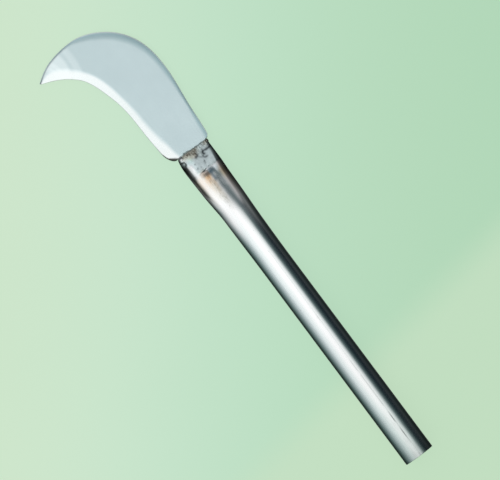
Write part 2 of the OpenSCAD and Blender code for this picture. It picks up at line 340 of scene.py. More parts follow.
def make_blade():
    stations = [*np.linspace(0, 1, 27)[:-1], *np.linspace(1, 7, 6 * 26 + 1)[:-1],
                *np.linspace(7, 7.9, 30), 7.94, 7.97, 7.99, 8.0]
    # ring columns: x, y, z, bevel, band, rim, tone, grain along, grain across
    rings = []
    f = np.linspace(0, 1, len(blade_section(0.0)))
    for offset, half_width, half_z in TANG_RINGS:
        half = np.zeros((len(f), 9))
        half[:, 0] = half[:, 7] = MOUTH + offset
        half[:, 1] = half_width * (2 * f - 1)
        half[:, 2] = half_z * np.minimum(1.0, (1 - np.abs(2 * f - 1)) * 40)
        rings.append(whole_ring(half))
    edge_length, last_edge = 0.0, None
    for s in stations:
        rows = blade_section(s)
        points, rim = rows[:, :2], rows[:, 5]
        edge = points[-1]
        if last_edge is not None:
            edge_length += np.linalg.norm(edge - last_edge)
        last_edge = edge
        width = max(np.linalg.norm(points[0] - edge), 0.5)
        from_edge = np.linalg.norm(points - edge, axis=1)
        from_spine = width - from_edge
        slanted = s + 0.7 * (1 - from_edge / width - 0.3)
        tone = lookup(TONE, slanted) * (1 - 0.9 * hump(from_spine, 0, 0.9))
        # rim: painted shade on the rounded edges, also along the spine near the point and over the
        # thick heel edge
        rim = np.maximum(rim, rise(5.0, 6.8, s) * hump(from_spine, 0, 1.45))
        scale = lookup(HEEL_SHADE, s)
        if scale > 0:
            rim = np.maximum(rim, fall(scale * 0.45, scale, from_edge))
        half = np.column_stack([MOUTH + points[:, 0], points[:, 1], rows[:, 2:5], rim, tone,
                                np.full(len(rows), edge_length), from_edge])
        rings.append(whole_ring(half))
    data = np.concatenate(rings)
    points = data[:, :3]
    # faint waviness of the two faces
    x, y, z = points.T
    side = np.sign(z)
    waves = (0.012 * fbm(x / 38, y / 30, side * 3.1, seed=5, octaves=2)
             + 0.004 * noise(x / 9, y / 14, side * 5.3, seed=9))
    on_face = (np.abs(z) > 0.9) & (x > MOUTH + 2)
    points[:, 2] += np.where(on_face, waves * side, 0)
    grain = np.column_stack([data[:, 7:9], np.zeros(len(data))])
    return build("blade_plate", points, ring_faces(len(rings), len(rings[0])), sharp=50,
                 vectors={"grain": grain}, bev=data[:, 3], band=data[:, 4], rim=data[:, 5],
                 tone=data[:, 6])


# ---------------------------------------------------------------- tube shape
# (x, half width of the neck on the +Y side)
WIDE_PLUS = [(FLARE0, R + 0.08), (NECK0 - 25, R + 0.3), (NECK0 - 8, R + 0.42),
             (NECK0 + 3, R + 0.55), (NECK0 + 13, R + 1.25), (NECK0 + 22, R + 1.85),
             (NECK0 + 30, R + 2.1), (NECK0 + 44, R + 2.48), (NECK0 + 52, R + 2.42),
             (NECK0 + 57, R + 1.75), (MOUTH, R + 1.15)]
# (x, half width of the neck on the -Y side)
WIDE_MINUS = [(FLARE0, R + 0.2), (NECK0 - 25, R + 0.42), (NECK0 - 10, R + 0.7), (NECK0, R + 1.0),
              (NECK0 + 15, R + 1.5), (NECK0 + 30, R + 1.78), (NECK0 + 41, R + 2.22),
              (NECK0 + 50, R + 2.22), (MOUTH, R + 2.22)]
MOUTH_HALF = 3.5                         # half height of the flats at the mouth
STEP_ROUND = R * 0.792                   # half height of the round neck at the step
STEP_DROP = 1.25                         # how far the flats lie below it there
# (x, half height before pressing)
ROUND_HALF = [(FLARE0, R), (NECK0, R), (NECK0 + 20, R * 0.912), (NECK0 + 30, R * 0.848),
              (STEP, STEP_ROUND), (MOUTH, R * 0.52)]
# (x, wall thickness)
WALLS = [(FLARE0, WALL), (NECK0, WALL), (STEP, WALL + 0.25),
         (MOUTH, MOUTH_HALF - TANG / 2 - 0.05)]
# plus, minus: half widths to +Y and -Y; height: half height before pressing;
# press: height of the pressed plane; pressed: 0 round to 1 pressed
Neck = namedtuple("Neck", "plus minus height press pressed wall")


def neck_shape(x):
    if x <= FLARE0:
        return Neck(R + 0.08, R + 0.2, R, 2 * R, 0.0, WALL)
    return Neck(smooth_lookup(WIDE_PLUS, x), smooth_lookup(WIDE_MINUS, x),
                smooth_lookup(ROUND_HALF, x),
                lerp(STEP_ROUND - STEP_DROP, MOUTH_HALF, (x - STEP) / DIE),
                rise(STEP - 0.6, STEP + 0.6, x), smooth_lookup(WALLS, x))


def press_tilt(x):
    """the flats lean a little towards the spine side, less so at the mouth"""
    return 0.155 * math.sqrt(max(0.0, min(1.0, (MOUTH - x) / DIE)))


def half_ring(x, inset, n):
    """n + 1 even points of the upper half, -Y to +Y; inset is the share of the wall"""
    neck = neck_shape(x)
    depth = inset * neck.wall
    angle = np.radians(np.linspace(180, 0, 240))
    y = np.where(np.cos(angle) > 0, neck.plus - depth, neck.minus - depth) * np.cos(angle)
    z = (neck.height - depth) * np.sin(angle)
    pressed = neck.pressed
    if STEP - 3 < x < STEP + 6:
        # the line where the press bites wanders from side to side
        offset = (0.55 * noise(y / 1.7, 0.7, 0.2, seed=91)
                  + 0.3 * noise(y / 0.8, 3.7, 0.2, seed=92))
        span = 1.5 + 2.4 * rise(-1.5, -5.5, y) + 0.5 * noise(y / 2.1, 9.7, 0.2, seed=93)
        pressed = rise(0, 1, (x - (STEP - 0.7 + offset)) / span)
    if np.max(pressed) > 0:
        softness = 0.12                  # the press edge is a little soft
        plane = neck.press - depth + press_tilt(x) * y
        # the flat runs nearly flush into the round except for a short bite near the middle
        reach = np.where(y > 0, R + 2.2, R + 2.0)
        round_z = STEP_ROUND * np.sqrt(np.maximum(0.0, 1 - (y / reach) ** 2))
        gap = np.maximum(0.0, round_z - (STEP_ROUND - STEP_DROP + press_tilt(STEP) * y))
        bite = 0.15 + 0.58 * hump(y, 1.4, 2.1)
        plane = plane + np.maximum(0.0, gap - bite) * fall(STEP, STEP + 9, x)
        lower = 0.5 * (z + plane - np.sqrt((z - plane) ** 2 + softness ** 2))
        z = lerp(z, np.where(z > 0.3, lower, z), pressed)
        z[0] = z[-1] = 0.0
    z = np.maximum(z, 0)
    length = np.concatenate([[0], np.cumsum(np.hypot(np.diff(y), np.diff(z)))])
    even = np.linspace(0, length[-1], n + 1)
    return np.interp(even, length, y), np.interp(even, length, z)


def top_z(x, y):
    """height of the neck's outer face over the mid plane"""
    neck = neck_shape(min(x, MOUTH))
    reach = neck.plus if y > 0 else neck.minus
    z = neck.height * math.sqrt(max(0.0, 1 - (y / reach) ** 2))
    return lerp(z, min(z, neck.press + press_tilt(x) * y), neck.pressed)


# ---------------------------------------------------------------- colours of the tube's skin
# In this section x counts with the mouth at DRAWN_MOUTH unless a table says otherwise.
# (x from the butt, brightness): painted shade, darker towards the butt where the light falls off
SKIN_BRIGHT = [(0, .50), (5, .54), (12, .60), (22, .66), (50, .75), (70, .79), (95, .82),
               (130, .86), (170, .895), (210, .92), (300, .92)]
# (distance back from the mouth, strength) and (y, strength) of the straw to brown tint
STRAW_BACK = [(19.3, 0), (22, .6), (25, 1.0), (28, .78), (33, .46), (41, .2), (50, 0)]
STRAW_ACROSS = [(-13, .55), (-9.6, .45), (-7.8, .2), (-6.6, 0), (-2.2, 0), (-.6, .45), (.5, .8),
                (4.2, .78), (7, .32), (13, .45)]
# (y, strength) of the blue-grey to purple band just short of the flat
BLUE_ACROSS = [(-6.3, 0), (-5.3, .5), (-4.2, .68), (-3.0, .9), (-.4, .9), (.6, 1), (2.4, .95),
               (4.2, .7), (5.6, .45), (7.6, 0)]
BLUE_TONE = np.array([.30, .44, .54])                 # spine side of it
PURPLE_TONE = np.array([.22, .21, .22])               # edge side of it
# blue oxide tongues on the neck, darkened further as a painted reflection of the dark surroundings
TONGUE = [(270.8, -2.0), (274, -1.7), (277.4, -1.9)]
FAINT_TONGUES = [(.22, 2.1, [(241, -6.4), (250, -4.6), (262, -3.0)]),
                 (.30, 1.2, [(255, -2.9), (266, -2.5)]),
                 (.34, 1.3, [(272, 1.9), (277, 2.2)]),
                 (.42, 1.0, [(264.5, -6.4), (268.5, -6.4), (271.5, -6.6)])]
# (spot as (strength, x, y, half widths), tone)
HEAT_SPOTS = [((1, 274.6, 2.1, 2.2, 1.4), (.97, .83, .70)),
              ((1, 271.5, -9.6, 4.0, 2.4), (1.0, .95, .76)),
              ((1, 278, -7.6, 3.2, 2.0), (.84, .95, 1.0))]
# (y, brightness) and (true x, share of it) on the pressed flat; brighter towards +Y, a painted
# highlight where the flat turns to the light
FLAT_ACROSS = [(-15, .575), (3.2, .575), (4.6, .66), (6.0, .75), (8.4, .86), (14, .86)]
FLAT_ALONG = [(STEP + 3, 1.0), (STEP + 9, .96), (MOUTH, .93)]
FLAT_GREY = np.array([.975, 1.13, 1.15])
# painted highlight colour where the flat turns over the +Y side
FLAT_SIDE = np.array([1.06, 1.08, 1.09])              # where it turns over the +Y side
FLAT_SHADES = [(.28, 283, 6.8, 1.7, 1.5), (-.15, 289.8, 5.7, 4.6, 1.7),
               (.13, 291, 8.8, 2.6, 1.2)]
# painted shade down the pressed edges, where the neck turns away from the light: (x, strength),
# then (x, distance out where it starts)
PLUS_DARK = [(246, 0), (258, .52), (272, .46), (279, .6), (284, .72), (288, .86), (291, .9),
             (293, .6), (295, 0)]
PLUS_START = [(246, 10.9), (276, 11.0), (281, 9.9), (290, 10.2), (300, 10.4)]
MINUS_DARK = [(250, 0), (262, .42), (272, .66), (282, .62), (287, .4), (291, .1), (300, 0)]
MINUS_START = [(250, 8.6), (262, 8.6), (268, 8.9), (276, 9.4), (284, 10.3), (290, 11.6)]
# dark lines and spots round the bead: painted shade in the undercut along its rear edge, dark
# scale and spatter
OXIDE_AND_UNDERCUT_SHADE_LINES = [
    # lines along the bead's rear edge on the -Y half: painted shade in the undercut
    (.98, 1.1, [(291.8, -6.3), (292.9, -5.7), (293.9, -6.1), (294.3, -7.1)]),
    (.92, 1.0, [(294.3, -7.1), (294.0, -9), (294.0, -11), (294.2, -13.4)]),
    (.80, 0.8, [(289.1, -7.2), (288.8, -5.8), (289.8, -4.6), (291.2, -4.5)]),
    (.62, 0.6, [(291.2, -4.5), (291.7, -6.8)]),
    (.94, 1.15, [(293.2, .8), (293.6, -.7), (294.7, -1.1), (296.2, -.5), (296.5, 1.0)]),
    (.50, 0.8, [(292.6, -1.2), (291.2, -2.6), (290.4, -4.2)]),
    (.94, 1.35, [(297.9, -1.0), (298.3, -2.6)]),
    (.95, 0.9, [(292.4, 11.4), (293.3, 10.4), (294.3, 10.1), (295.4, 11.0), (296.2, 12.4)]),
    (.42, 0.75, [(288.0, -3.2), (285.4, -2.8)]),
    (.74, 1.2, [(299.4, 9.6), (299.6, 2.4)]),
    (.62, 1.15, [(299.6, 2.4), (299.5, 0), (299.9, -4.2)]),
    (.56, 1.6, [(299.2, -10.6), (299.0, -15)]),
    (.34, 0.8, [(300.0, -4), (300.0, -10)])]
OXIDE_SPOTS = [
    (.34, 290.2, -6.0, 1.3, 1.4), (.88, 294.2, 0.3, 1.2, 1.2), (.70, 296.1, 0.6, 1.1, 1.1),
    (.55, 298.6, -3.4, 1.2, 1.2), (.80, 298.2, 5.0, 1.2, 1.2), (.66, 298.2, 2.0, 0.9, 0.9),
    (.45, 288.9, 4.6, 0.8, 0.8), (.42, 285.0, 4.9, 1.0, 1.0), (.30, 284.6, 2.0, 0.6, 0.6),
    (.42, 280.9, 1.6, 0.8, 0.8), (.3, 296.2, -12.4, 1.0, 1.0), (.25, 279.4, 4.0, 0.6, 0.6),
    (.25, 280.3, 5.6, 0.6, 0.6), (.45, 278.9, 2.4, 0.6, 0.6), (.3, 277.4, 3.9, 0.6, 0.6),
    (.30, 298.2, -9.8, 1.6, 3.4), (.55, 295.0, -0.6, 1.2, 0.9)]
# speckled scale in the wedge between the bead and the heel side
WEDGE_SPOTS = [(1.1, 298.4, 4.8, 1.9, 3.0), (.55, 297.8, 0.9, 1.7, 1.7)]
WEDGE_LINES = [(.85, 1.2, [(298.3, 6.6), (297.6, 4.6)])]
WARM_LINES = [(1.0, 3.2, [(299.0, 9), (298.6, -1)])]
WARM_SPOTS = [(1.0, 299, -13, 2.4, 3.2), (.8, 295.5, 4.2, 2.4, 2.4), (.7, 295.4, 0.8, 2.0, 1.6),
              (.9, 280.0, 3.4, 2.2, 2.4)]
COLD_OXIDE_AND_SHADE = np.array([.045, .055, .062])
WARM_OXIDE_AND_SHADE = np.array([.10, .082, .062])


class Skin:
    """points on the tube's outside and the colour laid on them so far"""

    def __init__(self, x, y, front):
        self.x, self.y = np.asarray(x, float), np.asarray(y, float)
        self.front = np.asarray(front)
        self.layer = np.where(front, 0.0, 37.0)       # noise slice, other on the back
        self.across = np.where(front, self.y, -0.9 * self.y - 1.0)
        self.station = drawn_x(self.x)
        self.colour = np.ones(3)

    def blotch(self, size, seed, octaves=3, shift=0.0):
        """noise with patches of size (along, across) mm"""
        return fbm(self.x / size[0], self.across / size[1], self.layer + shift, seed, octaves)

    def ragged(self, size, offset, seed):
        """noise that changes only across the tube"""
        return noise(self.across / size, offset, self.layer, seed)

    def tint(self, amount, tone=0.0):
        """multiply by tone as far as amount, black when no tone is given"""
        amount = np.asarray(amount)[..., None]
        self.colour = self.colour * (1 - amount + amount * np.asarray(tone))


def lay_base(skin):
    """plain steel, mottled and painted darker towards the butt, a painted shade where the light
    falls off
    """
    butt = fall(8, 90, skin.x)
    mottle = fbm(skin.x / 8, skin.y / 3, skin.layer, seed=70, octaves=3)
    bright = lookup(SKIN_BRIGHT, skin.x) * (1 + 0.10 * butt * mottle)
    bright = bright * (1 + 0.06 * fall(20, 60, skin.x))
    skin.colour = np.asarray(bright)[..., None]
    skin.tint(butt, (.935, 1.0, .97))


def lay_heat(skin):
    """tempering colours running back from the flat, some darkened further by painted reflection
    and painted shade
    """
    x, across, station = skin.x, skin.across, skin.station
    straw = (lookup(STRAW_BACK, MOUTH - x + 1.6 * skin.blotch((5, 3), seed=40))
             * lookup(STRAW_ACROSS, across + 0.8 * skin.blotch((4, 4), seed=44, octaves=2))
             * (1 + 0.35 * skin.blotch((2.6, 1.2), seed=46, octaves=2)))
    skin.tint(np.clip(straw, 0, 1), (.86, .58, .34))
    band = (rise(274.0, 278.2, station + 0.9 * skin.blotch((3, 1.6), seed=50))
            * fall(STEP - 0.9, STEP + 0.5, x + 0.7 * skin.ragged(1.1, 2.0, seed=51))
            * (1 - 0.25 * rise(277.4, 279.4, station)) * lookup(BLUE_ACROSS, across))
    skin.tint(np.clip(band, 0, 1), np.where((across < -0.5)[..., None], BLUE_TONE, PURPLE_TONE))
    # a blue-grey tongue running back from the band, then fainter ones: blue oxide darkened further
    # as a painted reflection of the dark surroundings
    wavy = across + 0.5 * skin.blotch((2.5, 2), seed=52, octaves=2)
    skin.tint(0.92 * stroke(station, wavy, TONGUE, half_width=1.7), (.24, .30, .35))
    skin.tint(np.max(strokes(station, across, FAINT_TONGUES), axis=0), (.36, .42, .47))
    # painted shade on the +Y flank by the step, where the neck turns away from the light
    skin.tint(0.22 * rise(276, 280, station) * fall(283, 286, station) * rise(8.5, 10.5, across))
    for place, tone in HEAT_SPOTS:
        skin.tint(spots(station, across, [place])[0], tone)
    # fine specks along the bright line
    dust = (np.clip(skin.blotch((1.3, 0.8), seed=72, shift=9) - 0.10, 0, 1) * 0.8
            * rise(236, 262, station) * hump(across, 1.6, 2.6))
    skin.tint(np.clip(dust, 0, 0.3))


def lay_flat(skin):
    """grey oxide on the pressed flat, with painted highlight towards +Y, painted shade along the
    step line and down both pressed edges
    """
    across, station = skin.across, skin.station
    on_flat = rise(STEP - 0.4, STEP + 0.5, skin.x + 0.5 * skin.ragged(0.9, 5.0, seed=54))
    bright = (lookup(FLAT_ACROSS, across + 0.6 * skin.blotch((3, 3), seed=53, octaves=2))
              * lookup(FLAT_ALONG, skin.x)
              * (1 + 0.13 * skin.blotch((2.2, 1.7), seed=55)
                 - 0.05 * np.clip(skin.blotch((0.9, 0.8), seed=57, octaves=1), 0, 1)))
    # painted highlight where the flat turns over to the +Y side
    side = (rise(5.5, 8.5, across) * fall(289, 293, station))[..., None]
    grey = bright[..., None] * lerp(FLAT_GREY, FLAT_SIDE, side)
    skin.colour = lerp(skin.colour, grey, on_flat[..., None])
    # painted shade along the step line on the -Y half, where the flat drops below the round
    line = 0.22 * hump(station, 280.9, 1.15) * rise(-0.2, -1.6, across)
    skin.tint(line + sum(spots(station, across, FLAT_SHADES)))
    skin.tint(spots(station, across, [(1, 294, 5.8, 2.8, 2.2)])[0], (.88, 1.0, .98))
    # painted shade down both pressed edges
    plus = (lookup(PLUS_DARK, station)
            * rise(0, 1.5, across - lookup(PLUS_START, station)))
    minus = (lookup(MINUS_DARK, station)
             * rise(0, 1.4, -across - lookup(MINUS_START, station)))
    skin.tint(np.clip(plus + minus, 0, 1))


def lay_oxide(skin):
    """painted shade in the undercut along the bead's rear edge, with dark scale and spatter round
    the bead
    """
    x = skin.station + 0.35 * skin.blotch((1.1, 1.1), seed=61, octaves=1)
    y = skin.across + 0.35 * skin.blotch((1.0, 1.2), seed=63, octaves=1, shift=3)
    speck = np.clip(0.86 + 0.8 * skin.blotch((0.9, 1.1), seed=66), 0, 1)
    fleck = np.clip(skin.blotch((0.9, 0.8), seed=68, shift=5) - 0.12, 0, 1) * 1.9
    mouth_flecks = (rise(296.4, 298.4, x) * fall(7.5, 9, y)
                    + spots(x, y, [(.7, 295, -11, 2.5, 2.5)])[0])
    dark = np.max([
        *strokes(x, y, OXIDE_AND_UNDERCUT_SHADE_LINES),
        *spots(x, y, OXIDE_SPOTS),
        0.97 * np.clip(sum(spots(x, y, WEDGE_SPOTS)), 0, 1) * speck,
        speck * strokes(x, y, WEDGE_LINES)[0],
        np.clip(fleck, 0, 0.7) * mouth_flecks,
        np.clip(fleck, 0, 0.6) * spots(x, y, [(1, 279.6, 3.0, 2.6, 3.4)])[0]], axis=0)
    warm = np.clip(sum(strokes(x, y, WARM_LINES) + spots(x, y, WARM_SPOTS)), 0, 1)
    skin.tint(warm, (1.09, .95, .82))
    dark = dark[..., None] * np.where(skin.front[..., None], 1.0, 0.8)
    skin.colour = lerp(skin.colour, lerp(COLD_OXIDE_AND_SHADE, WARM_OXIDE_AND_SHADE, warm[..., None]), dark)


def skin_colour(x, y, front):
    """colour of the tube's outside at (x, y); front is True on the +Z side"""
    skin = Skin(x, y, front)
    for lay in (lay_base, lay_heat, lay_flat, lay_oxide):
        lay(skin)
    return skin.colour


# ---------------------------------------------------------------- tube
TUBE_HALF_POINTS = 88
BORE_COLOUR = np.array([0.05, 0.035, 0.02])
# nicks and burrs by the step on the front: (height, x, y, half width x, half width y)
NICKS = [(-0.28, STEP + 0.7, 1.2, 0.7, 1.3), (0.2, STEP - 0.3, 3.2, 0.8, 1.1),
         (-0.25, STEP + 1.6, -3.8, 0.8, 1.5), (-0.2, STEP + 4.2, 4.4, 0.5, 0.6),
         (-0.2, MOUTH - 12.4, -3.0, 0.5, 0.8), (-0.18, MOUTH - 11.0, 4.9, 0.5, 0.6)]


def wall_outline():
    """(x, inset) round the wall: butt lip, outside, mouth lip, bore"""
    outline = [(0.25, 1.0), (0.07, 0.95), (0.0, 0.86), (0.0, 0.5), (0.0, 0.22), (0.06, 0.1),
               (0.18, 0.03), (0.42, 0.0)]
    outside = [0.9, 1.8, 3.2, 5, *np.arange(7.5, NECK0 - 1, 2.5),
               *np.arange(NECK0, STEP - 3, 1.0), *np.arange(STEP - 3, MOUTH - 0.45, 0.3)]
    outline += [(x, 0.0) for x in outside]
    outline += [(MOUTH - 0.3, 0.0), (MOUTH - 0.1, 0.04), (MOUTH, 0.14), (MOUTH, 0.5),
                (MOUTH, 0.9), (MOUTH - 0.15, 1.0)]
    bore = [*np.arange(MOUTH - 1.5, NECK0, -1.5), *np.arange(NECK0, 6, -8.0), 2.0]
    return outline + [(x, 1.0) for x in bore]


def tube_relief(x, y, z):
    """tool marks, dents, burr and nicks on the pressed flats, as a height"""
    side = np.sign(z)
    on_flat = rise(STEP - 1.5, STEP + 1.0, x) * (np.abs(z) > 2.6)
    from_edge = rise(0, 3, 9.5 + 0.2 * (x - STEP) - np.abs(y))
    dents = (0.03 * fbm(x / 2.6, y / 2.2, side * 2.0, seed=21, octaves=3)
             + 0.05 * fbm(x / 6.5, y / 5, side * 7, seed=8, octaves=2))
    # burr thrown up where the tool edge bit
    burr = (0.12 * hump(x, STEP - 0.9, 0.7) * (0.5 + 0.5 * noise(y / 1.5, 4.0, side, seed=31))
            * hump(y, 2.2, 3.2))
    return on_flat * from_edge * dents + burr + sum(spots(x, y, NICKS)) * (z > 0)


def skin_lean(x, out_y):
    """how much steeper than it is the skin is shaded; out_y is the outward direction's y"""
    before_step = fall(STEP - 0.5, STEP + 1.0, x)
    return (rise(190, 275, x) * before_step * (0.5 + 1.2 * rise(0.25, 0.65, np.abs(out_y)))
            + 2.6 * rise(STEP - 0.5, STEP + 1.0, x) * rise(0.70, 0.82, out_y)
            + 0.9 * rise(253, 268, x) * before_step * rise(0.70, 0.84, out_y)
            + 0.75 * rise(272.5, 276.5, x) * fall(STEP - 0.8, STEP + 0.6, x)
            * rise(0.50, 0.60, -out_y) * fall(0.80, 0.88, -out_y))


def make_tube():
    rings, outer = [], []
    for x, inset in wall_outline():
        y, z = half_ring(x, inset, TUBE_HALF_POINTS)
        y = np.concatenate([y, y[-2:0:-1]])
        z = np.concatenate([z, -z[-2:0:-1]])
        rings.append(np.stack([np.full_like(y, x), y, z], 1))
        outer.append(np.full(len(y), 1.0 - inset))
    points, outer = np.concatenate(rings), np.concatenate(outer)
    x, y, z = points.T.copy()
    radius = np.hypot(y, z) + 1e-9
    # a hair of waviness along the drawn tube
    wave = 0.014 * fbm(x / 45, y / 9, z / 9, seed=3, octaves=2)
    points[:, 2] += np.where(outer > 0.5, np.sign(z) * tube_relief(x, y, z), 0)
    points[:, 1] += y / radius * wave
    points[:, 2] += z / radius * wave
    lean = skin_lean(x, y / radius)

    x, y, z = points.T
    inside = (1 - np.clip(outer * 1.6, 0, 1))
    colour = (skin_colour(x, y, z > 0) * (1 - 0.72 * inside)[:, None]
              + BORE_COLOUR * inside[:, None])
    ragged = 1.5 * fbm(x / 5, y / 3, z / 9, seed=40, octaves=2)
    return build("tube_body", points, ring_faces(len(rings), len(rings[0]), closed=True),
                 sharp=60, colours=colour, heat=fall(15, 27, MOUTH - x + ragged),
                 inside=inside, butt=fall(12, 80, x) * 0.8, lean=lean)


# (share of the half width, height over the tube)
SEAM_PROFILE = [(-1.0, -0.10), (-0.92, -0.005), (-0.6, 0.022), (0, 0.03), (0.6, 0.022),
                (0.92, -0.005), (1.0, -0.10), (0.5, -0.14), (-0.5, -0.14)]
SEAM_HALF = 0.6
SEAM_ANGLE = math.radians(-4)            # from the top of the tube, +Y positive


def make_seam():
    """scraped seam line, a hair proud of the tube"""
    stations = [0.5, 0.8, *np.arange(2, NECK0 - 6, 2.0), NECK0 - 5.6, NECK0 - 5.2]
    points = []
    for i, x in enumerate(stations):
        half = SEAM_HALF * (0.9 + 0.1 * noise(x / 6, 0.3, 0.7, seed=12))
        if i in (0, len(stations) - 1):
            half *= 0.4
        for share, height in SEAM_PROFILE:
            angle = SEAM_ANGLE + share * half / R
            radius = R + height + 0.006 * noise(x / 2.2, share, 0.1, seed=14)
            points.append((x, radius * math.sin(angle), radius * math.cos(angle)))
    points = np.array(points)
    x = points[:, 0]
    zero = np.zeros_like(x)
    dark = np.clip(hump(x, 22, 5) + 0.8 * hump(x, 37, 4)
                   + 0.25 * (noise(x / 9, 3.3, 0, seed=5) > 0.35), 0, 1)
    colour = skin_colour(x, zero - 0.9, True) * (0.98 - 0.5 * dark)[:, None]
    return build("tube_seam_line", points, ring_faces(len(stations), len(SEAM_PROFILE)),
                 sharp=30, colours=colour, heat=zero, inside=zero, butt=fall(12, 80, x),
                 lean=zero)


# ---------------------------------------------------------------- welds
# (y, how far the bead washes back over the neck)
FRONT_REAR = [(-14.6, 1.0), (-13.2, 3.6), (-11.5, 4.1), (-8.5, 4.2), (-7.0, 4.6), (-6.0, 7.0),
              (-5.2, 9.4), (-4.2, 8.8), (-3.0, 7.6), (-1.4, 5.2), (-0.4, 5.6), (1.0, 5.6),
              (2.6, 4.9), (4.0, 4.2), (6.0, 2.7), (8.0, 1.8), (9.6, 0.9)]
BACK_REAR = [(-14.6, 1.0), (-13.0, 3.0), (-9, 3.6), (-4, 3.2), (1, 3.8), (5, 3.3), (9, 3.5),
             (10.8, 1.0)]
# (y, how far the bead reaches onto the plate)
BEAD_TOE = [(-14, 0.7), (-2, 0.75), (1, 1.0), (4, 1.9), (7, 1.9), (9.6, 1.0)]
BEAD_RINGS = 150
BEAD_HEIGHT = 0.85
RIPPLE_PITCH = 2.1
# shares of the way from the bead's rear to its toe, over the top and back underneath
BEAD_TOP = (0, 0.06, 0.14, 0.24, 0.34, 0.44, 0.54, 0.64, 0.74, 0.82, 0.9, 0.96, 1.0)
BEAD_UNDER = (0.96, 0.7, 0.4, 0.1)


def make_bead(name, rear, low, high, side, seed):
    """bead over the mouth from y = low to high; side is 1 in front, -1 behind"""
    points = []
    for y in np.linspace(low, high, BEAD_RINGS):
        body = math.sqrt(max(0.0, 1 - abs((2 * y - low - high) / (high - low)) ** 7))
        back = -lookup(rear, y)
        toe = (lookup(BEAD_TOE, y) + 0.35 * noise(y / 1.3, 0.2, 0.4, seed)
               + 0.2 * noise(y / 0.6, 1.2, 0.4, seed) - 0.3 * (1 - body))
        wander = 0.5 * noise(y / 3, 1, 1, seed + 3)
        ripple = 0.10 * math.cos(2 * math.pi * (y + wander) / RIPPLE_PITCH)
        swell = BEAD_HEIGHT * body * (1 + ripple)
        for share in BEAD_TOP:
            x = lerp(back, toe, share)
            if x < 0:
                # on the neck flat behind the mouth
                thin = rise(0, 1.2, x - back)
                crown = swell * (0.26 + 0.74 * rise(-3.0, -0.6, x))
                z = top_z(MOUTH + x, y) + crown * thin - 0.10 * (1 - thin)
            else:
                # on the plate in front of it
                f = x / max(toe, 0.4)
                z = (lerp(top_z(MOUTH, y) + swell, HALF_PLATE - 0.02, f ** 1.5)
                     + 0.25 * math.sin(math.pi * f) * body)
            rough = fbm((MOUTH + x) / 1.3, y / 1.1, side, seed, octaves=2)
            z += 0.09 * rough * (0.3 + 0.7 * body)
            points.append((MOUTH + x, y, z * side))
        # underside, a little inside the parents
        for share in BEAD_UNDER:
            x = lerp(back, toe, share)
            z = top_z(MOUTH + x, y) - 0.5 if x < 0 else TANG / 2 - 0.3
            points.append((MOUTH + x, y, max(z, 0.2) * side))
    points = np.array(points)
    ring = len(BEAD_TOP) + len(BEAD_UNDER)
    x, y = points[:, 0], points[:, 1]
    vary = 1 + 0.10 * fbm(x / 1.2, y, side * 3.0, seed + 9, octaves=3)
    colour = skin_colour(x, y, side > 0) * vary[:, None]
    colour[np.arange(len(points)) % ring >= len(BEAD_TOP)] = 0.1
    return build(name, points, ring_faces(BEAD_RINGS, ring, flip=side > 0), sharp=70,
                 colours=colour, heat=np.ones(len(points)))


LUMP_AROUND, LUMP_ALONG = 48, 32
HEEL_STROKES = [(1.0, 0.85, [(292.6, 11.3), (293.4, 10.4), (294.4, 10.2), (295.4, 11.0),
                             (296.2, 12.5)]),
                (0.5, 0.7, [(296.6, 8.6), (297.2, 7.6)]),
                (0.97, 1.25, [(299.9, 7.0), (300.2, 13.4)]),
                (0.8, 0.9, [(297.0, 13.2), (299.6, 12.7)])]


def heel_stain(x, y):
    return 0.92 * np.max(strokes(x, y, HEEL_STROKES))


def spine_stain(x, y):
    return 0.6 * hump(x, 299.6, 1.3)


def make_lump(name, centre, radii, seed, light, dark, stain, stain_colour):
    """rough ellipsoid with its poles along X; stain(x, y) is how far stain_colour covers it"""
    points, colours = [], []
    for i in range(LUMP_ALONG + 1):
        rise_angle = math.radians(-90 + 180 * i / LUMP_ALONG)
        for j in range(1 if i in (0, LUMP_ALONG) else LUMP_AROUND):
            turn = 2 * math.pi * j / LUMP_AROUND
            out = np.array([math.sin(rise_angle), math.cos(rise_angle) * math.cos(turn),
                            math.cos(rise_angle) * math.sin(turn)])
            x, y, z = out * 1.6
            size = 1 + 0.14 * fbm(x + seed, y, z, seed, octaves=3)
            point = np.array(centre) + out * np.array(radii) * size
            points.append(point)
            x, y, z = out * 2.2
            share = 0.5 + 0.5 * fbm(x, y, z + seed, seed + 4, octaves=3)
            colour = lerp(np.array(dark), np.array(light), share)
            cover = stain(drawn_x(point[0]), point[1])
            colours.append(lerp(colour, np.array(stain_colour), cover))

    def start(i):
        return 1 + (i - 1) * LUMP_AROUND

    faces = []
    end = start(LUMP_ALONG)
    around = [(j, (j + 1) % LUMP_AROUND) for j in range(LUMP_AROUND)]
    for j, j2 in around:
        faces.append((start(1) + j, start(1) + j2, 0))
        faces.append((start(LUMP_ALONG - 1) + j2, start(LUMP_ALONG - 1) + j, end))
    for i in range(1, LUMP_ALONG - 1):
        here, there = start(i), start(i + 1)
        faces += [(there + j, there + j2, here + j2, here + j) for j, j2 in around]
    return build(name, points, faces, sharp=70, colours=np.array(colours),
                 heat=np.ones(len(points)))


